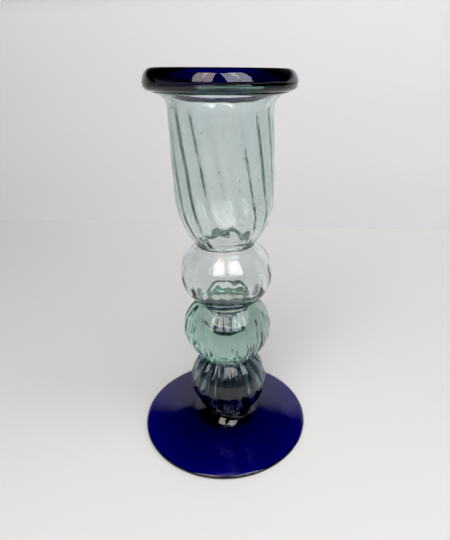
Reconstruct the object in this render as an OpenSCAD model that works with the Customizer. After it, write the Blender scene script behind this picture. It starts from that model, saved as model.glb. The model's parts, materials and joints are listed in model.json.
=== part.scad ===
// Hand-blown glass candlestick: a candle cup on three bulbs, with a cobalt lip wrap and a cobalt foot.
// The frame is in millimetres with +Z up, and its origin is at the middle of the foot's underside.

/* [Foot] */
// Diameter of the foot disc
foot_d = 97.8; // [92:0.2:110]
// Height of the foot, from the table to the lower bulb
foot_h = 12; // [11:0.5:14]
// Thickness of the foot at its edge
foot_edge_t = 2.8; // [2.4:0.1:3.4]
// Diameter of the post that the lower bulb is fused to
post_d = 26; // [22:0.5:28]
// Radius of the sweep from the post to the disc
post_sweep_r = 8; // [7:0.5:9]
// Height of the hollow under the foot
kick_h = 1.6; // [1:0.1:2.4]
// Diameter of the hollow under the foot
kick_d = 80; // [70:1:86]
// Diameter of the scar that the punty rod leaves
scar_d = 14; // [10:1:18]

/* [Stem] */
// Diameter of the lower bulb
lower_bulb_d = 42.8; // [40:0.2:46]
// Diameter of the middle bulb
middle_bulb_d = 48.2; // [44:0.2:50]
// Diameter of the upper bulb
upper_bulb_d = 48.6; // [44:0.2:50]
// Wall of the hollow bulbs at their widest
bulb_wall = 2.6; // [2.2:0.1:3.6]
// How far the stem stands off the middle of the foot, as a hand-set stem does
stem_shift = 2.7; // [0:0.1:4]

/* [Necks] */
// Outer diameter of the neck between the lower and middle bulbs
low_neck_d = 24.6; // [22:0.2:28]
// Outer diameter of the neck between the middle and upper bulbs
mid_neck_d = 29; // [26:0.2:32]
// Outer diameter of the neck between the upper bulb and the cup
top_neck_d = 29; // [26:0.2:32]
// Diameter of the lower bulb's hollow where the middle bulb closes it
closed_hollow_d = 17; // [14:0.2:19]
// Diameter of the passage from the upper bulb down into the middle bulb
mid_passage_d = 21; // [18:0.2:23]
// How far that passage reaches down into the solid middle bulb
mid_passage_depth = 20; // [16:0.5:24]
// Diameter of the passage through the neck below the cup
top_passage_d = 20; // [18:0.2:23]

/* [Candle cup] */
// Outer diameter of the cup
cup_d = 49.2; // [46:0.1:50]
// Diameter of the candle socket
socket_d = 41; // [39:0.1:42]
// Radius of the flare under the lip
flare_r = 7; // [6:0.5:8]

/* [Lip] */
// Outer diameter of the lip
lip_d = 69.6; // [67:0.2:76]
// Height of the lip wrap's bead
wrap_h = 6; // [5:0.2:7]
// Width of the lip wrap's bead
wrap_w = 8.2; // [7.2:0.2:10]

/* [Hidden] */
$fn = 160;
clear_glass = [0.76, 0.88, 0.83, 0.45];
cobalt_glass = [0.07, 0.04, 0.42, 0.9];

// Heights of the joints between the pieces, and of each piece's widest level
lower_bulb_z = foot_h + 19.2;
low_neck_z = foot_h + 37;
middle_bulb_z = foot_h + 55.7;
mid_neck_z = foot_h + 72.3;
upper_bulb_z = foot_h + 88.7;
top_neck_z = foot_h + 106;
cup_shoulder_z = foot_h + 131;
flare_z = foot_h + 172.5;

// Radii and thicknesses that follow from the driving dimensions
cup_r = cup_d / 2;
socket_r = socket_d / 2;
cup_wall = cup_r - socket_r;
flange_z = flare_z + flare_r;
flare_out_r = cup_r + flare_r;
wrap_lap = 0.5;
wrap_sink = 1.25;
flange_end_r = lip_d / 2 - wrap_lap - cup_wall / 2;
round_h = cup_shoulder_z - top_neck_z;
foot_r = foot_d / 2;
edge_r = foot_r - foot_edge_t / 2;
overlap = 1;

// Radius of an arc that bulges by bow over a height of rise and is upright at its widest level
function bow_radius(bow, rise) = (rise * rise + bow * bow) / (2 * bow);

// Half of a bulging outline: wide at z = 0, with a radius of end_r at z = rise
module half_bulge(wide_r, end_r, rise) {
    arc_r = bow_radius(wide_r - end_r, rise);
    intersection() {
        translate([wide_r - arc_r, 0]) circle(r = arc_r);
        square([wide_r, rise]);
    }
    square([end_r, rise]);
}

// A whole bulging outline that reaches from z = -fall to z = rise
module bulge(wide_r, low_r, fall, high_r, rise) {
    half_bulge(wide_r, high_r, rise);
    mirror([0, 1]) half_bulge(wide_r, low_r, fall);
}

// The lower bulb has a floor of glass over the foot, and its hollow is closed by the middle bulb
module lower_bulb() {
    floor_t = 4;
    floor_r = 7;
    fall = lower_bulb_z - foot_h;
    rise = low_neck_z - lower_bulb_z;
    color(clear_glass) translate([stem_shift, 0, lower_bulb_z]) rotate_extrude() difference() {
        bulge(lower_bulb_d / 2, post_d / 2, fall, low_neck_d / 2, rise);
        bulge(lower_bulb_d / 2 - bulb_wall, floor_r, fall - floor_t, closed_hollow_d / 2, rise);
    }
}

// The middle bulb is solid, but for the round-ended passage that reaches down into it
module middle_bulb() {
    end_round_r = 8;
    passage_r = mid_passage_d / 2;
    rise = mid_neck_z - middle_bulb_z;
    color(clear_glass) translate([stem_shift, 0, middle_bulb_z]) rotate_extrude() difference() {
        bulge(middle_bulb_d / 2, low_neck_d / 2, middle_bulb_z - low_neck_z, mid_neck_d / 2, rise);
        translate([0, rise - mid_passage_depth]) {
            square([passage_r - end_round_r, end_round_r]);
            translate([passage_r - end_round_r, end_round_r]) circle(r = end_round_r);
            translate([0, end_round_r]) square([passage_r, mid_passage_depth - end_round_r + overlap]);
        }
    }
}

// The upper bulb is hollow, and open to the necks above and below it
module upper_bulb() {
    fall = upper_bulb_z - mid_neck_z;
    rise = top_neck_z - upper_bulb_z;
    color(clear_glass) translate([stem_shift, 0, upper_bulb_z]) rotate_extrude() difference() {
        bulge(upper_bulb_d / 2, mid_neck_d / 2, fall, top_neck_d / 2, rise);
        bulge(upper_bulb_d / 2 - bulb_wall, mid_passage_d / 2, fall, top_passage_d / 2, rise);
    }
}

// The cup has a rounded bottom and a straight wall, and is open down to the passage
module candle_cup() {
    color(clear_glass) translate([stem_shift, 0, cup_shoulder_z]) rotate_extrude() difference() {
        union() {
            mirror([0, 1]) half_bulge(cup_r, top_neck_d / 2, round_h);
            square([cup_r, flare_z - cup_shoulder_z]);
        }
        mirror([0, 1]) half_bulge(socket_r, top_passage_d / 2, round_h);
        square([socket_r, flare_z - cup_shoulder_z + overlap]);
    }
}

// Section of the flare and the flat flange it turns out to, from the cup's wall up
module flare_section() {
    difference() {
        union() {
            translate([0, flare_z]) difference() {
                square([flare_out_r, flare_r]);
                translate([flare_out_r, 0]) circle(r = flare_r);
            }
            translate([0, flange_z]) square([flange_end_r, cup_wall]);
            translate([flange_end_r, flange_z + cup_wall / 2]) circle(d = cup_wall);
        }
        translate([0, flare_z]) difference() {
            translate([0, -overlap]) square([flare_out_r, flare_r + cup_wall + 2 * overlap]);
            translate([flare_out_r, 0]) circle(r = flare_r + cup_wall);
            translate([flare_out_r - overlap, flare_r]) square([overlap, cup_wall]);
        }
    }
}

module flared_lip() color(clear_glass) translate([stem_shift, 0, 0]) rotate_extrude() flare_section();

// A bead of cobalt glass laid on the flange, with its underside fused to it
module lip_wrap() {
    bead_r = wrap_h / 2;
    top_z = flange_z + cup_wall + wrap_h - wrap_sink;
    color(cobalt_glass) translate([stem_shift, 0, 0]) rotate_extrude() difference() {
        translate([lip_d / 2 - wrap_w, top_z - wrap_h]) {
            translate([bead_r, bead_r]) circle(r = bead_r);
            translate([wrap_w - bead_r, bead_r]) circle(r = bead_r);
            translate([bead_r, 0]) square([wrap_w - wrap_h, wrap_h]);
        }
        flare_section();
    }
}

// The disc thins from the middle to its rounded edge, over a shallow hollow
module foot_disc() {
    kick_r = bow_radius(kick_h, kick_d / 2);
    brow_h = 8;
    rotate_extrude() difference() {
        union() {
            polygon([[0, 0], [edge_r, 0], [edge_r, foot_edge_t], [0, brow_h]]);
            translate([edge_r, foot_edge_t / 2]) circle(d = foot_edge_t);
        }
        intersection() {
            translate([0, kick_h - kick_r]) circle(r = kick_r, $fn = 1440);
            translate([0, -overlap]) square([kick_d, kick_h + 2 * overlap]);
        }
    }
}

// The post sweeps up from the disc to the lower bulb
module foot_post() {
    lean = 15;
    sweep_x = post_d / 2 + post_sweep_r * cos(lean);
    sweep_z = foot_h + post_sweep_r * sin(lean);
    root_z = kick_h + overlap;
    translate([stem_shift, 0, 0]) rotate_extrude() difference() {
        translate([0, root_z]) square([sweep_x - overlap, foot_h - root_z]);
        translate([sweep_x, sweep_z]) circle(r = post_sweep_r);
    }
}

module punty_scar() {
    scar_gap = 0.5;
    translate([0, 0, scar_gap]) cylinder(d = scar_d, h = kick_h + overlap);
}

module foot() color(cobalt_glass) union() {
    foot_disc();
    foot_post();
    punty_scar();
}

foot();
lower_bulb();
middle_bulb();
upper_bulb();
candle_cup();
flared_lip();
lip_wrap();
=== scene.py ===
"""Looks for a hand-blown glass candlestick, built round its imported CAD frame.

Lengths are metres in the frame's own axes: +Z runs up the stem and -Y points towards the camera. The clear
glass is one continuous piece, as on the real object, so a single mesh stands for the five clear CAD nodes.
The lip wrap and the foot are meshes of their own, let a little way into the clear glass where they are fused.
"""
import json
import math

import bmesh
import bpy
import numpy as np
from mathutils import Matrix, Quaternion, Vector


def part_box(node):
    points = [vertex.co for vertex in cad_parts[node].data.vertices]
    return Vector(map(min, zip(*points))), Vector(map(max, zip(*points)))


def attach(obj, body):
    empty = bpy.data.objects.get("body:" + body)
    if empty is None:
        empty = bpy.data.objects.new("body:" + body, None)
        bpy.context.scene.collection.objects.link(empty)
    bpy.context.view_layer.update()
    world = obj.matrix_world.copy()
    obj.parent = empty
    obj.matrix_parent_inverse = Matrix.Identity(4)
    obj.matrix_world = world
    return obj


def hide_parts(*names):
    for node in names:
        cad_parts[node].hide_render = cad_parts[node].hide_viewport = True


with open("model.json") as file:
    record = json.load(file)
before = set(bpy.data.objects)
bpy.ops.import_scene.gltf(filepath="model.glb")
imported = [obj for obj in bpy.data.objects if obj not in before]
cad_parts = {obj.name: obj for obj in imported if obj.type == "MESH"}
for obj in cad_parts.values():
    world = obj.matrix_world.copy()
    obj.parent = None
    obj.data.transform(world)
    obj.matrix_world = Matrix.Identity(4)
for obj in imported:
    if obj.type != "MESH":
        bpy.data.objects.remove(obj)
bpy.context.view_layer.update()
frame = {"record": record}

MM = 0.001
TURN = 2 * math.pi


# ---------------------------------------------------------------- sizes read from the frame

def node_span(node):
    """Axis position, greatest radius, lowest and highest level of a round CAD node."""
    low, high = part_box(node)
    return (low.x + high.x) / 2, (high.x - low.x) / 2, low.z, high.z


_, FOOT_R, _, FOOT_TOP = node_span("foot")
STEM_X, LOWER_R, _, LOW_NECK_Z = node_span("lower_bulb")
_, MIDDLE_R, _, MID_NECK_Z = node_span("middle_bulb")
_, UPPER_R, _, TOP_NECK_Z = node_span("upper_bulb")
_, LIP_R, _, LIP_TOP = node_span("lip_wrap")
SOCKET_R = frame["record"]["mounts"][0]["dims"]["r_mm"] * MM

# The widest level of each bulb, and the levels along the cup
LOWER_Z = FOOT_TOP + 19.2 * MM
MIDDLE_Z = LOW_NECK_Z + 18.7 * MM
UPPER_Z = MID_NECK_Z + 16.4 * MM
SHOULDER_Z = TOP_NECK_Z + 25 * MM
FLARE_Z = TOP_NECK_Z + 66.5 * MM

# Radii and levels that the boxes don't give, and how deep fused pieces sink into each other
POST_R = 13 * MM
LOW_NECK_R = 12.3 * MM
MID_NECK_R = 14.5 * MM
TOP_NECK_R = 14.5 * MM
TOP_PASSAGE_R = 10 * MM
MID_PASSAGE_R = 10.5 * MM
HOLLOW_END_Z = MID_NECK_Z - 20 * MM
HOLLOW_ROUND_R = 8 * MM
LOWER_HOLLOW_TOP_Z = LOW_NECK_Z - 2.5 * MM
LOWER_HOLLOW_TOP_R = 8 * MM
LOWER_HOLLOW_END_Z = FOOT_TOP + 2 * MM
LOWER_HOLLOW_END_R = 9.5 * MM
CUP_R = 24.6 * MM
FLARE_R = 7 * MM
BULB_WALL = 2.6 * MM
FUSE = 0.25 * MM

# The rim is one rounded form: clear flange below and in its core, cobalt wrap round its top
RIM_HALF_W = 4.2 * MM
RIM_HALF_H = 4.7 * MM
RIM_R = LIP_R - RIM_HALF_W - 0.1 * MM
RIM_Z = LIP_TOP - 3.75 * MM
RIM_POWER = 2.25
RIM_LEAN = 0.2
# Where the wrap starts on the outside and ends in the mouth, in degrees round the rim's outline
WRAP_START, WRAP_END = -11, 211
# Scale of the clear core inside the wrap, against the rim's outline
CORE = 0.5

RIBS = 16
SEGMENTS = 240


# ---------------------------------------------------------------- outlines

def bulge(z_from, r_from, z_to, r_to, steps=40):
    """An arc between two levels that stands upright at the wider of them."""
    first, last = (z_from, r_from), (z_to, r_to)
    (wide_z, wide_r), (end_z, end_r) = (first, last) if r_from > r_to else (last, first)
    rise, bow = end_z - wide_z, wide_r - end_r
    arc_r = (rise * rise + bow * bow) / (2 * bow)
    z = np.linspace(z_from, z_to, steps)
    return np.column_stack([wide_r - arc_r + np.sqrt(arc_r ** 2 - (z - wide_z) ** 2), z])


def arc(centre_r, centre_z, radius, start, end, steps=24):
    """Points of a circle in the (radius, height) plane, between two angles in degrees."""
    a = np.radians(np.linspace(start, end, steps))
    return np.column_stack([centre_r + radius * np.cos(a), centre_z + radius * np.sin(a)])


def rim_point(angle, scale=1.0):
    """A point of the rim's rounded outline. Angle 0 is outermost and 90 degrees is the top."""
    c, s = np.cos(angle), np.sin(angle)
    out = np.sign(c) * np.abs(c) ** (2 / RIM_POWER)
    up = scale * RIM_HALF_H * np.sign(s) * np.abs(s) ** (2 / RIM_POWER)
    r = RIM_R + scale * RIM_HALF_W * out - RIM_LEAN * up * np.clip(out, 0, 1)
    return np.stack([r, RIM_Z + up], axis=-1)


def resample(points, spacing):
    """The same outline with its points respaced. The spacing is a length, or a function of the height."""
    points = np.asarray(points, float)
    step = np.linalg.norm(np.diff(points, axis=0), axis=1)
    points = points[np.concatenate([[True], step > 1e-9])]
    step = np.linalg.norm(np.diff(points, axis=0), axis=1)
    gap = spacing(points[1:, 1]) if callable(spacing) else spacing
    s = np.concatenate([[0], np.cumsum(step / gap)])
    t = np.linspace(0, s[-1], int(round(s[-1])) + 1)
    return np.column_stack([np.interp(t, s, points[:, 0]), np.interp(t, s, points[:, 1])])


def neck_nearness(z, reach):
    """1 at each jacked neck, falling smoothly to 0 beyond the given reach."""
    near = [np.exp(-((z - neck) / reach) ** 2) for neck in (LOW_NECK_Z, MID_NECK_Z, TOP_NECK_Z)]
    return np.clip(sum(near), 0, 1)


def ring_gap(z):
    """Rings stand closer together at the necks, where the surface is creased."""
    return (1.42 - 0.8 * neck_nearness(z, 8 * MM)) * MM


def soften(points, spacing, width):
    """Rounds an outline's creases over about the given width. The two ends stay where they are."""
    reach = int(3 * width / spacing)
    kernel = np.exp(-0.5 * (np.arange(-reach, reach + 1) * spacing / width) ** 2)
    kernel /= kernel.sum()
    before = 2 * points[0] - points[reach:0:-1]
    after = 2 * points[-1] - points[-2:-reach - 2:-1]
    padded = np.concatenate([before, points, after])
    return np.column_stack([np.convolve(padded[:, k], kernel, "valid") for k in (0, 1)])


def finish_outline(parts, width, spacing):
    """Joins the parts of an outline, rounds the creases and respaces the points."""
    fine = 0.2 * MM
    outline = soften(resample(np.concatenate(parts), fine), fine, width)
    return resample(outline, spacing)


def outer_outline():
    """Outside of the clear glass, from the axis at the foot up to the edge of the flange."""
    base_z = FOOT_TOP - FUSE
    flange_z = FLARE_Z + FLARE_R
    inset = 8
    edge = rim_point(np.radians(np.linspace(-88, WRAP_START, 20)))
    core = rim_point(np.radians(np.linspace(WRAP_START + inset, WRAP_END - inset, 40)), CORE)
    return [
        np.array([[0, base_z], [POST_R, base_z]]),
        bulge(FOOT_TOP, POST_R, LOWER_Z, LOWER_R),
        bulge(LOWER_Z, LOWER_R, LOW_NECK_Z, LOW_NECK_R),
        bulge(LOW_NECK_Z, LOW_NECK_R, MIDDLE_Z, MIDDLE_R),
        bulge(MIDDLE_Z, MIDDLE_R, MID_NECK_Z, MID_NECK_R),
        bulge(MID_NECK_Z, MID_NECK_R, UPPER_Z, UPPER_R),
        bulge(UPPER_Z, UPPER_R, TOP_NECK_Z, TOP_NECK_R),
        bulge(TOP_NECK_Z, TOP_NECK_R, SHOULDER_Z, CUP_R),
        np.array([[CUP_R, FLARE_Z - 8 * MM]]),
        arc(CUP_R + FLARE_R, FLARE_Z, FLARE_R, 180, 90),
        np.array([[RIM_R - 1 * MM, flange_z]]),
        edge,
        core,
    ]


def inner_outline():
    """Inside of the cup and the upper bulb, from the flange's top down to the end in the middle bulb."""
    flare_in_r = FLARE_R + CUP_R - SOCKET_R
    hollow_r = UPPER_R - BULB_WALL
    return [
        rim_point(np.radians([WRAP_END])),
        arc(CUP_R + FLARE_R, FLARE_Z, flare_in_r, 116, 180),
        bulge(SHOULDER_Z, SOCKET_R, TOP_NECK_Z + 1 * MM, TOP_PASSAGE_R),
        bulge(TOP_NECK_Z - 0.6 * MM, TOP_PASSAGE_R, UPPER_Z, hollow_r),
        bulge(UPPER_Z, hollow_r, MID_NECK_Z + 3 * MM, MID_PASSAGE_R),
        arc(MID_PASSAGE_R - HOLLOW_ROUND_R, HOLLOW_END_Z + HOLLOW_ROUND_R, HOLLOW_ROUND_R, 0, -90),
        np.array([[0, HOLLOW_END_Z]]),
    ]


def lower_hollow():
    """The closed hollow in the lower bulb, from the axis under its neck down to the axis above the foot."""
    hollow_r = LOWER_R - BULB_WALL
    return [
        np.array([[0, LOWER_HOLLOW_TOP_Z]]),
        bulge(LOWER_HOLLOW_TOP_Z, LOWER_HOLLOW_TOP_R, LOWER_Z, hollow_r),
        bulge(LOWER_Z, hollow_r, LOWER_HOLLOW_END_Z, LOWER_HOLLOW_END_R),
        np.array([[0, LOWER_HOLLOW_END_Z]]),
    ]


# ---------------------------------------------------------------- hand-made irregularity

def drift(phi, z, seed, wavelength=30 * MM, waves=10):
    """A smooth random field over a turned surface, about -1 to 1, that joins up round the turn."""
    rng = np.random.default_rng(seed)
    total = np.zeros(np.broadcast(phi, z).shape)
    for _ in range(waves):
        around, along = rng.integers(1, 5), rng.normal() * TURN / wavelength
        total += np.cos(around * phi + along * z + rng.uniform(0, TURN))
    return total / math.sqrt(waves)


def smoothstep(x, low, high):
    t = np.clip((x - low) / (high - low), 0, 1)
    return t * t * (3 - 2 * t)


def level(z, knots):
    """A value that changes along the height, given as (height in mm, value) pairs."""
    heights, values = zip(*knots)
    return np.interp(z / MM, heights, values)


# Height in mm, and depth of the optic ribs in mm on the inside and on the outside of the clear glass
INNER_RIB_MM = [(12, 0), (20, 0.4), (34, 0.6), (46, 0.6), (78, 0), (84, 0.2), (101, 0.2), (118, 0.1),
                (124, 0.3), (140, 0.85), (176, 0.9), (184, 0.5), (188, 0)]
OUTER_RIB_MM = [(12, 0), (18, 0.6), (34, 1.0), (45, 1.0), (49, 0.5), (55, 0.6), (68, 0.7), (78, 0.5),
                (84, 0.2), (90, 0.15), (100, 0.2), (110, 0.1), (118, 0.1), (126, 0.15), (150, 0.2),
                (178, 0.2), (186, 0.1), (190, 0)]
# Height in mm, and how far the ribs have turned in degrees
TWIST_DEG = [(12, 40), (50, 38), (118, 34), (150, 17), (191, 0)]
# Height in mm, and depth of the fine lines down the stem in mm
FLUTE_MM = [(44, 0), (52, 0.08), (68, 0.08), (75, 0.03), (80, 0)]
# Height in mm, and how rounded the ribs are: 0.8 gives broad ridges with creases, 2.4 even ridges and flutes
RIB_POWER = [(42, 2.4), (54, 0.8), (78, 0.8), (92, 2.4)]


def rib_wave(phi, z):
    """Ridges and the flutes or creases between them, about -0.5 to 0.5."""
    turned = phi - np.radians(level(z, TWIST_DEG))
    power = level(z, RIB_POWER)
    return np.abs(np.cos(RIBS * turned / 2)) ** power - np.interp(power, [0.8, 2.4], [0.65, 0.45])


def fine_flutes(phi, z, seed=51, waves=12):
    """Fine lines that run down the stem, about -1 to 1."""
    rng = np.random.default_rng(seed)
    total = np.zeros(np.broadcast(phi, z).shape)
    for _ in range(waves):
        around, along = rng.integers(24, 60), rng.normal() * TURN / (220 * MM)
        total += np.cos(around * phi + along * z + rng.uniform(0, TURN))
    return total / math.sqrt(waves)


def stem_x(z):
    """The axis leans a little to the left above the bulbs."""
    lean = 0.9 * MM
    return STEM_X - lean * smoothstep(z, 118 * MM, 198 * MM)


def lip_sag(x, y, z):
    """The lip isn't level: it stands a little lower on the right and at the back."""
    reach = smoothstep(z, 172 * MM, 194 * MM)
    above = smoothstep(z, 192 * MM, 200 * MM)
    drop = 0.9 * MM
    to_right = math.tan(math.radians(1.3)) + above * math.tan(math.radians(0.3))
    to_back = math.tan(math.radians(1.7))
    return z - reach * (to_right * (x - STEM_X) + to_back * y + drop)


# ---------------------------------------------------------------- mesh making

def lathe_faces(rings, segments, first_vertex=0):
    """Quads between neighbouring rings, with a fan to a single point at each end."""
    faces = []
    bottom, top = first_vertex, first_vertex + 1 + rings * segments
    start = first_vertex + 1
    for j in range(segments):
        k = (j + 1) % segments
        faces.append((bottom, start + k, start + j))
        last = start + (rings - 1) * segments
        faces.append((last + j, last + k, top))
    for i in range(rings - 1):
        a = start + i * segments
        for j in range(segments):
            k = (j + 1) % segments
            faces.append((a + j, a + k, a + segments + k, a + segments + j))
    return faces


def make_object(name, verts, faces, material):
    mesh = bpy.data.meshes.new(name)
    mesh.from_pydata([tuple(v) for v in verts], [], faces)
    mesh.validate()
    mesh.polygons.foreach_set("use_smooth", [True] * len(mesh.polygons))
    mesh.materials.append(material)
    obj = bpy.data.objects.new(name, mesh)
    bpy.context.collection.objects.link(obj)
    return obj


def seed_ball():
    """Vertices and inward faces of one small round cavity."""
    bm = bmesh.new()
    bmesh.ops.create_icosphere(bm, subdivisions=2, radius=1.0)
    verts = np.array([v.co for v in bm.verts])
    faces = [tuple(v.index for v in reversed(f.verts)) for f in bm.faces]
    bm.free()
    return verts, faces


def add_seeds(verts, faces, places):
    """Adds air seeds as cavities: each place is (centre, stretch along z, radius)."""
    ball, ball_faces = seed_ball()
    verts, faces = [np.asarray(verts)], list(faces)
    count = len(verts[0])
    for centre, stretch, radius in places:
        verts.append(np.asarray(centre) + ball * radius * np.array([1, 1, stretch]))
        faces.extend(tuple(i + count for i in f) for f in ball_faces)
        count += len(ball)
    return np.concatenate(verts), faces


# ---------------------------------------------------------------- the three pieces of glass

def clear_surface():
    """Rings of the clear glass from the outer pole to the inner pole, as (rings, segments, 3)."""
    outer = finish_outline(outer_outline(), 0.5 * MM, ring_gap)
    inner = finish_outline(inner_outline(), 0.6 * MM, ring_gap)
    return np.concatenate([ribbed(outer[1:], OUTER_RIB_MM, 1), ribbed(inner[:-1], INNER_RIB_MM, -1)])


def ribbed(outline, depth, sign):
    """Turns an outline round the stem, with ribs, jack marks and ripples. Sign is 1 outside and -1 inside."""
    phi = np.linspace(0, TURN, SEGMENTS, endpoint=False)[None, :]
    r, z = outline[:, :1], outline[:, 1:]
    fade = np.clip(r / (8 * MM), 0, 1)
    # The ribs are more even up the cup than down the bulbs
    uneven = 0.4 - 0.2 * smoothstep(z, 122 * MM, 145 * MM)
    rib = level(z, depth) * MM * rib_wave(phi, z) * (1 + uneven * drift(phi, z, 3))
    swell = 1 + 0.006 * drift(phi, z, 5) * (1 - 0.7 * smoothstep(z, 150 * MM, 190 * MM))
    ripple = 0.06 * MM * drift(phi, z, 7 + sign, 9 * MM)
    marks = 0.12 * MM * neck_nearness(z, 4 * MM) * drift(phi, z, 13 + sign, 2.4 * MM)
    flutes = level(z, FLUTE_MM) * MM * fine_flutes(phi, z)
    radius = r * swell + fade * (sign * rib + ripple + marks + flutes)
    x, y = stem_x(z) + radius * np.cos(phi), radius * np.sin(phi)
    return np.stack([x, y, lip_sag(x, y, z + 0 * x)], axis=-1)


def clear_seeds(in_cup=70, in_bulb=12):
    """Places of air seeds in the wall of the cup, and a few in the solid part of the middle bulb."""
    rng = np.random.default_rng(11)
    low, high, r = SHOULDER_Z + 2 * MM, FLARE_Z - 4 * MM, (CUP_R + SOCKET_R) / 2 + 0.1 * MM
    places = []
    for _ in range(in_cup):
        z, phi = rng.uniform(low, high), rng.uniform(0, TURN)
        radius = rng.uniform(0.12, 0.34) * MM
        places.append(((stem_x(z) + r * math.cos(phi), r * math.sin(phi), z), rng.uniform(1, 2.2), radius))
    for _ in range(in_bulb):
        offset = rng.normal(size=3)
        offset *= rng.uniform(4, 13) * MM / np.linalg.norm(offset)
        centre = offset + (STEM_X, 0, MIDDLE_Z - 4 * MM)
        places.append((centre, rng.uniform(1, 1.8), rng.uniform(0.1, 0.26) * MM))
    return places


def make_clear_body(material):
    rings = clear_surface()
    count = len(rings)
    poles = [(STEM_X, 0, FOOT_TOP - FUSE), (STEM_X, 0, HOLLOW_END_Z)]
    verts = np.concatenate([[poles[0]], rings.reshape(-1, 3), [poles[1]]])
    faces = lathe_faces(count, SEGMENTS)
    hollow = ribbed(finish_outline(lower_hollow(), 0.6 * MM, ring_gap)[1:-1], INNER_RIB_MM, -1)
    first = len(verts)
    poles = [(STEM_X, 0, LOWER_HOLLOW_TOP_Z), (STEM_X, 0, LOWER_HOLLOW_END_Z)]
    verts = np.concatenate([verts, [poles[0]], hollow.reshape(-1, 3), [poles[1]]])
    faces += lathe_faces(len(hollow), SEGMENTS, first)
    verts, faces = add_seeds(verts, faces, clear_seeds())
    body = make_object("clear_body", verts, faces, material)
    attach(body, "root")
    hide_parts("lower_bulb", "middle_bulb", "upper_bulb", "candle_cup", "flared_lip")


def make_lip_wrap(material):
    """The cobalt thread covers the rim's top. On the left it runs down over the edge of the flange."""
    phi = np.linspace(0, TURN, SEGMENTS, endpoint=False)[:, None]
    left = 0.5 - 0.5 * np.cos(phi)
    run_down, wander = 72, 5
    start = np.radians(WRAP_START - run_down * left ** 5 + wander * drift(phi, 0 * phi, 21))
    end = np.radians(WRAP_END)
    outside, inside = 48, 24
    u = np.linspace(0, 1, outside)[None, :]
    shell = rim_point(start + (end - start) * u, 1.03)
    v = np.linspace(0, 1, inside + 2)[None, 1:-1]
    back = rim_point(end + (start - end) * v, CORE - FUSE / RIM_HALF_W)
    section = np.concatenate([shell, back], axis=1)
    wobble = 1 + 0.004 * drift(phi, 0 * phi, 23)
    r, z = section[..., 0] * wobble, section[..., 1]
    x, y = stem_x(z) + r * np.cos(phi), r * np.sin(phi)
    verts = np.stack([x, y, lip_sag(x, y, z)], axis=-1).reshape(-1, 3)
    n = outside + inside
    faces = []
    for i in range(SEGMENTS):
        a, b = i * n, ((i + 1) % SEGMENTS) * n
        faces.extend((a + j, b + j, b + (j + 1) % n, a + (j + 1) % n) for j in range(n))
    wrap = make_object("cobalt_lip_wrap", verts, faces, material)
    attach(wrap, "root")
    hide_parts("lip_wrap")


def foot_outline():
    """From the axis under the foot, round its edge and up to the axis at the top of the post."""
    kick_h, kick_r, edge_t = 1.6 * MM, 45.5 * MM, 2.8 * MM
    edge_r = FOOT_R - edge_t / 2
    dome_r = (kick_r ** 2 + kick_h ** 2) / (2 * kick_h)
    span = math.degrees(math.asin(kick_r / dome_r))
    sweep_r, lean = 8 * MM, 15
    tilt = math.radians(lean)
    sweep_c = (POST_R + sweep_r * math.cos(tilt), FOOT_TOP + sweep_r * math.sin(tilt))
    bulb_side = bulge(FOOT_TOP, POST_R, LOWER_Z, LOWER_R)
    held = bulb_side[(bulb_side[:, 1] > FOOT_TOP + 1 * MM) & (bulb_side[:, 1] < FOOT_TOP + 3 * MM)]
    return [
        arc(0, kick_h - dome_r, dome_r, 90, 90 - span, 60),
        np.array([[edge_r, 0]]),
        arc(edge_r, edge_t / 2, edge_t / 2, -90, 86, 16),
        arc(*sweep_c, sweep_r, 262, 180 + lean, 24),
        held + np.array([0.5 * MM, 0]),
        held[::-1] - np.array([FUSE + 0.1 * MM, 0]),
        np.array([[POST_R - 1 * MM, FOOT_TOP + FUSE], [0, FOOT_TOP + FUSE]]),
    ]


def foot_seeds(count=110):
    """Places of air seeds just under the foot's upper face. Two in three lie on the front."""
    rng = np.random.default_rng(31)
    places = []
    for i in range(count):
        phi = rng.uniform(0, TURN) if i % 3 == 0 else rng.normal(-TURN / 4, 0.5)
        r = rng.uniform(21, 44) * MM
        top = np.interp(r / MM, [19.6, 47.6], [6.15, 2.8]) * MM
        radius = rng.uniform(0.14, 0.32) * MM
        places.append(((r * math.cos(phi), r * math.sin(phi), top - radius - 0.16 * MM), 0.8, radius))
    return places


def make_foot(material):
    outline = finish_outline(foot_outline(), 0.3 * MM, 0.7 * MM)
    poles = [(0, 0, outline[0, 1]), (STEM_X, 0, outline[-1, 1])]
    phi = np.linspace(0, TURN, SEGMENTS, endpoint=False)[None, :]
    r, z = outline[1:-1, :1], outline[1:-1, 1:]
    upper = smoothstep(z, 0.6 * MM, 2.4 * MM)
    radius = r * (1 + 0.004 * drift(phi, 0 * z, 33) * smoothstep(r, 15 * MM, 48 * MM))
    height = z + upper * 0.12 * MM * drift(phi, r, 35, 25 * MM) * smoothstep(r, 14 * MM, 24 * MM)
    shift = STEM_X * smoothstep(z, 6 * MM, 12 * MM)
    rings = np.stack([shift + radius * np.cos(phi), radius * np.sin(phi), height + 0 * phi], axis=-1)
    verts = np.concatenate([[poles[0]], rings.reshape(-1, 3), [poles[1]]])
    verts, faces = add_seeds(verts, lathe_faces(len(rings), SEGMENTS), foot_seeds())
    foot = make_object("cobalt_foot", verts, faces, material)
    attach(foot, "root")
    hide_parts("foot")


# ---------------------------------------------------------------- materials

def new_material(name):
    material = bpy.data.materials.new(name)
    material.use_nodes = True
    nodes, links = material.node_tree.nodes, material.node_tree.links
    return material, nodes, links, nodes["Principled BSDF"], nodes["Material Output"]


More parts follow.
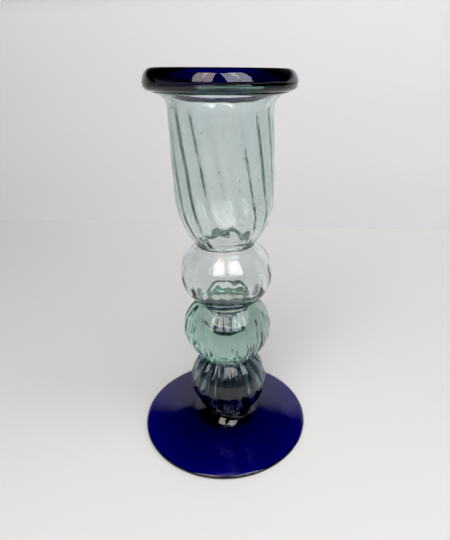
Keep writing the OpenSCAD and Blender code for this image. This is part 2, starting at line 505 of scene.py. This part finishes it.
def add_noise(nodes, links, scale, detail, stretch=(1, 1, 1)):
    """A noise texture in the object's own coordinates."""
    place = nodes.new("ShaderNodeTexCoord")
    mapping = nodes.new("ShaderNodeMapping")
    mapping.inputs["Scale"].default_value = stretch
    noise = nodes.new("ShaderNodeTexNoise")
    noise.inputs["Scale"].default_value = scale
    noise.inputs["Detail"].default_value = detail
    links.new(place.outputs["Object"], mapping.inputs["Vector"])
    links.new(mapping.outputs["Vector"], noise.inputs["Vector"])
    return noise


def add_ramp(nodes, links, source, low, high):
    """Turns a noise into a colour between low and high."""
    ramp = nodes.new("ShaderNodeValToRGB")
    ramp.color_ramp.elements[0].position = 0.3
    ramp.color_ramp.elements[1].position = 0.7
    ramp.color_ramp.elements[0].color = (*low, 1)
    ramp.color_ramp.elements[1].color = (*high, 1)
    links.new(source, ramp.inputs["Fac"])
    return ramp.outputs["Color"]


def add_range(nodes, links, source, low, high, start=0.3, end=0.7, blend="LINEAR"):
    """Turns a value that goes from start to end into one that goes from low to high."""
    spread = nodes.new("ShaderNodeMapRange")
    spread.interpolation_type = blend
    spread.inputs["From Min"].default_value = start
    spread.inputs["From Max"].default_value = end
    spread.inputs["To Min"].default_value = low
    spread.inputs["To Max"].default_value = high
    links.new(source, spread.inputs["Value"])
    return spread.outputs["Result"]


def add_position(nodes, links):
    """A point's place in the object's own coordinates, whole and split into X, Y and Z."""
    place = nodes.new("ShaderNodeTexCoord")
    split = nodes.new("ShaderNodeSeparateXYZ")
    links.new(place.outputs["Object"], split.inputs["Vector"])
    return place.outputs["Object"], split.outputs


def glass(name, tints, roughness, absorbs, density, cord_stretch):
    """Coloured glass, nearly clear at the surface and coloured in its depth, with faint cords and smears."""
    material, nodes, links, shader, output = new_material(name)
    smears = add_noise(nodes, links, 60, 4)
    cords = add_noise(nodes, links, 90, 2, cord_stretch)
    links.new(add_ramp(nodes, links, cords.outputs["Fac"], *tints), shader.inputs["Base Color"])
    links.new(add_range(nodes, links, smears.outputs["Fac"], *roughness), shader.inputs["Roughness"])
    bump = nodes.new("ShaderNodeBump")
    bump.inputs["Strength"].default_value = 0.15
    bump.inputs["Distance"].default_value = 0.05 * MM
    links.new(cords.outputs["Fac"], bump.inputs["Height"])
    links.new(bump.outputs["Normal"], shader.inputs["Normal"])
    shader.inputs["Transmission Weight"].default_value = 1.0
    shader.inputs["IOR"].default_value = 1.51
    volume = nodes.new("ShaderNodeVolumeAbsorption")
    volume.inputs["Color"].default_value = (*absorbs, 1)
    volume.inputs["Density"].default_value = density
    links.new(volume.outputs["Volume"], output.inputs["Volume"])
    return material


def sea_green_glass():
    """The pale clear glass, with its tints and the shade painted on its lower bulb and flange."""
    tints, absorbs = ((0.97, 0.99, 0.985), (1, 1, 1)), (0.17, 0.47, 0.38)
    material = glass("sea_green_glass", tints, (0.0, 0.008), absorbs, 27, (1, 1, 0.12))
    paint_shade_and_tint_ends(material)
    return material


def tint_where(material, source, start, end, tint):
    """Tints a glass's surface as a value goes from start to end, and so the light that crosses it there."""
    nodes, links = material.node_tree.nodes, material.node_tree.links
    shader = nodes["Principled BSDF"]
    colour = shader.inputs["Base Color"].links[0].from_socket
    amount = add_range(nodes, links, source, 0, 1, start, end, "SMOOTHSTEP")
    mix = nodes.new("ShaderNodeMix")
    mix.data_type = "RGBA"
    mix.blend_type = "MULTIPLY"
    mix.inputs["B"].default_value = (*tint, 1)
    links.new(amount, mix.inputs["Factor"])
    links.new(colour, mix.inputs["A"])
    links.new(mix.outputs["Result"], shader.inputs["Base Color"])


def paint_shade_and_tint_ends(material):
    """Surface tints on the lower bulb, the cup, and the flange that reaches out past it. The lower bulb's is
    painted shade, a dark blue-grey standing in for the dark foot seen through it; the flange's is partly
    painted shade, dark, and partly the deep green of thick glass.
    """
    lower_bulb_painted_shade, faint_green, flange_green_and_painted_shade = (0.24, 0.32, 0.37), (0.92, 0.95, 0.95), (0.05, 0.20, 0.16)
    nodes, links = material.node_tree.nodes, material.node_tree.links
    position, axes = add_position(nodes, links)
    flatten = nodes.new("ShaderNodeVectorMath")
    flatten.operation = "MULTIPLY"
    flatten.inputs[1].default_value = (1, 1, 0)
    reach = nodes.new("ShaderNodeVectorMath")
    reach.operation = "LENGTH"
    links.new(position, flatten.inputs[0])
    links.new(flatten.outputs["Vector"], reach.inputs[0])
    # Painted shade: the lower bulb is darkened to blue-grey, standing in for the dark foot seen through it
    tint_where(material, axes["Z"], LOW_NECK_Z + 0.5 * MM, LOW_NECK_Z - 2 * MM, lower_bulb_painted_shade)
    tint_where(material, axes["Z"], TOP_NECK_Z + 4 * MM, TOP_NECK_Z + 14 * MM, faint_green)
    # Partly painted shade: the flange and the rim's core are darkened, with the deep green of thick glass
    tint_where(material, reach.outputs["Value"], 29 * MM, 31 * MM, flange_green_and_painted_shade)


def cobalt_glass(name, density):
    """Cobalt glass of a given density, as the thread and the foot take different ones."""
    tints, absorbs = ((0.86, 0.86, 1), (1, 1, 1)), (0.15, 0, 0.78)
    return glass(name, tints, (0.0, 0.012), absorbs, density, (1, 1, 1))


def plain(name, colour, grain, roughness):
    """Matt paint or laminate with a faint mottle."""
    material, nodes, links, shader, _ = new_material(name)
    noise = add_noise(nodes, links, 6, 3)
    low = tuple(c * (1 - grain) for c in colour)
    links.new(add_ramp(nodes, links, noise.outputs["Fac"], low, colour), shader.inputs["Base Color"])
    shader.inputs["Roughness"].default_value = roughness
    shader.inputs["Specular IOR Level"].default_value = 0.3
    return material


def shade_top(material, start, end, darkest=0.06):
    """Paints shade on a wall, darker towards its top, between two heights in the plane's own units."""
    nodes, links = material.node_tree.nodes, material.node_tree.links
    shader = nodes["Principled BSDF"]
    paint = shader.inputs["Base Color"].links[0].from_socket
    _, axes = add_position(nodes, links)
    fade = add_range(nodes, links, axes["Y"], 1, darkest, start, end, "SMOOTHSTEP")
    scale = nodes.new("ShaderNodeVectorMath")
    scale.operation = "SCALE"
    links.new(paint, scale.inputs[0])
    links.new(fade, scale.inputs["Scale"])
    links.new(scale.outputs["Vector"], shader.inputs["Base Color"])


# ---------------------------------------------------------------- stage, light and camera

def add_plane(name, centre, size, rotation, material):
    bpy.ops.mesh.primitive_plane_add(size=1, location=centre, rotation=rotation)
    plane = bpy.context.object
    plane.name = name
    plane.scale = (size[0], size[1], 1)
    plane.data.materials.append(material)


def make_stage():
    """A pale table top, with a pale wall behind it that darkens towards its top."""
    wall_y, yaw = 0.354, math.radians(-7.4)
    table_top = plain("table_top", (0.92, 0.91, 0.895), 0.02, 0.5)
    add_plane("floor", (0, 0, 0), (2.6, 2.6), (0, 0, 0), table_top)
    wall = plain("wall", (0.775, 0.77, 0.79), 0.02, 0.8)
    # Painted shade: the wall darkens towards its top
    shade_top(wall, -0.045, 0.13)
    add_plane("backdrop", (0, wall_y, 0.275), (8, 0.55), (math.radians(90), 0, yaw), wall)


def area_light(name, azimuth, elevation, distance, size, radiance, colour, shows):
    """A soft rectangular light, aimed at the object. Azimuth 0 is on the camera's side, 90 is to the right.
    One that shows is seen in the glass, mirrored or through it. One that doesn't only lights the stage."""
    data = bpy.data.lights.new(name, "AREA")
    data.shape = "RECTANGLE"
    data.size, data.size_y = size
    data.energy = radiance * math.pi * size[0] * size[1]
    data.color = colour
    light = bpy.data.objects.new(name, data)
    bpy.context.collection.objects.link(light)
    a, e = math.radians(azimuth), math.radians(elevation)
    away = Vector((math.sin(a) * math.cos(e), -math.cos(a) * math.cos(e), math.sin(e)))
    light.location = Vector((0, 0, 0.1)) + away * distance
    light.rotation_euler = away.to_track_quat("Z", "Y").to_euler()
    light.visible_camera = False
    light.visible_diffuse = not shows
    light.visible_glossy = light.visible_transmission = shows


def make_lights():
    """Two windows of two panes each, side by side with a bar between, and a fill light for each."""
    warm, cool = (1.0, 0.86, 0.76), (0.92, 0.96, 1.0)
    distance, half_bar = 1.2, 0.02
    for side, azimuth, width, colour in (("left", -24, 0.28, warm), ("right", 29, 0.36, cool)):
        for pane, turn in (("outer", 1), ("inner", -1)):
            yaw = azimuth + turn * math.copysign(math.degrees(width / 2 + half_bar) / distance, azimuth)
            area_light(side + "_window_" + pane, yaw, 42, distance, (width, 1.0), 5.2, colour, True)
    area_light("left_fill", -20, 42, 0.75, (0.5, 0.8), 3.2, (1.0, 0.96, 0.93), False)
    area_light("right_fill", 42, 46, 0.75, (0.9, 0.8), 2.05, (0.95, 0.98, 1.0), False)


def make_world():
    """A plain room: pale at the level of the table, and dim above, so that the cobalt stays deep."""
    world = bpy.data.worlds.new("room")
    bpy.context.scene.world = world
    world.use_nodes = True
    nodes, links = world.node_tree.nodes, world.node_tree.links
    place = nodes.new("ShaderNodeTexCoord")
    split = nodes.new("ShaderNodeSeparateXYZ")
    ramp = nodes.new("ShaderNodeValToRGB")
    links.new(place.outputs["Generated"], split.inputs["Vector"])
    links.new(split.outputs["Z"], ramp.inputs["Fac"])
    stops = ((0.0, 0.45), (0.12, 0.40), (0.30, 0.06), (0.80, 0.02), (1.0, 0.03))
    while len(ramp.color_ramp.elements) < len(stops):
        ramp.color_ramp.elements.new(0.5)
    for element, (position, grey) in zip(ramp.color_ramp.elements, stops):
        element.position = position
        element.color = (grey, grey, grey * 1.02, 1)
    links.new(ramp.outputs["Color"], nodes["Background"].inputs["Color"])
    nodes["Background"].inputs["Strength"].default_value = 1.0


def make_camera():
    """A wide lens, close to the object and looking down at it."""
    data = bpy.data.cameras.new("camera")
    data.sensor_width = 36
    data.lens = 30.2
    data.clip_start = 0.01
    camera = bpy.data.objects.new("camera", data)
    bpy.context.collection.objects.link(camera)
    camera.location = (2.05 * MM, -219.6 * MM, 205.6 * MM)
    pitch, roll = math.radians(90 - 25.39), math.radians(-1.32)
    camera.rotation_mode = "QUATERNION"
    camera.rotation_quaternion = Quaternion((1, 0, 0), pitch) @ Quaternion((0, 0, 1), roll)
    bpy.context.scene.camera = camera


def set_light_paths():
    """Enough bounces for light to cross both walls of every bulb, a limit on sparks, and deeper darks."""
    scene = bpy.context.scene
    scene.cycles.max_bounces = 28
    scene.cycles.transmission_bounces = 28
    scene.cycles.glossy_bounces = 8
    scene.cycles.diffuse_bounces = 4
    scene.cycles.sample_clamp_indirect = 8
    scene.view_settings.view_transform = "Standard"
    scene.view_settings.use_curve_mapping = True
    scene.view_settings.curve_mapping.black_level = (0.007, 0.007, 0.007)
    scene.view_settings.curve_mapping.update()


make_camera()
make_clear_body(sea_green_glass())
make_lip_wrap(cobalt_glass("cobalt_thread", 1200))
make_foot(cobalt_glass("cobalt_glass", 950))
make_stage()
make_lights()
make_world()
set_light_paths()
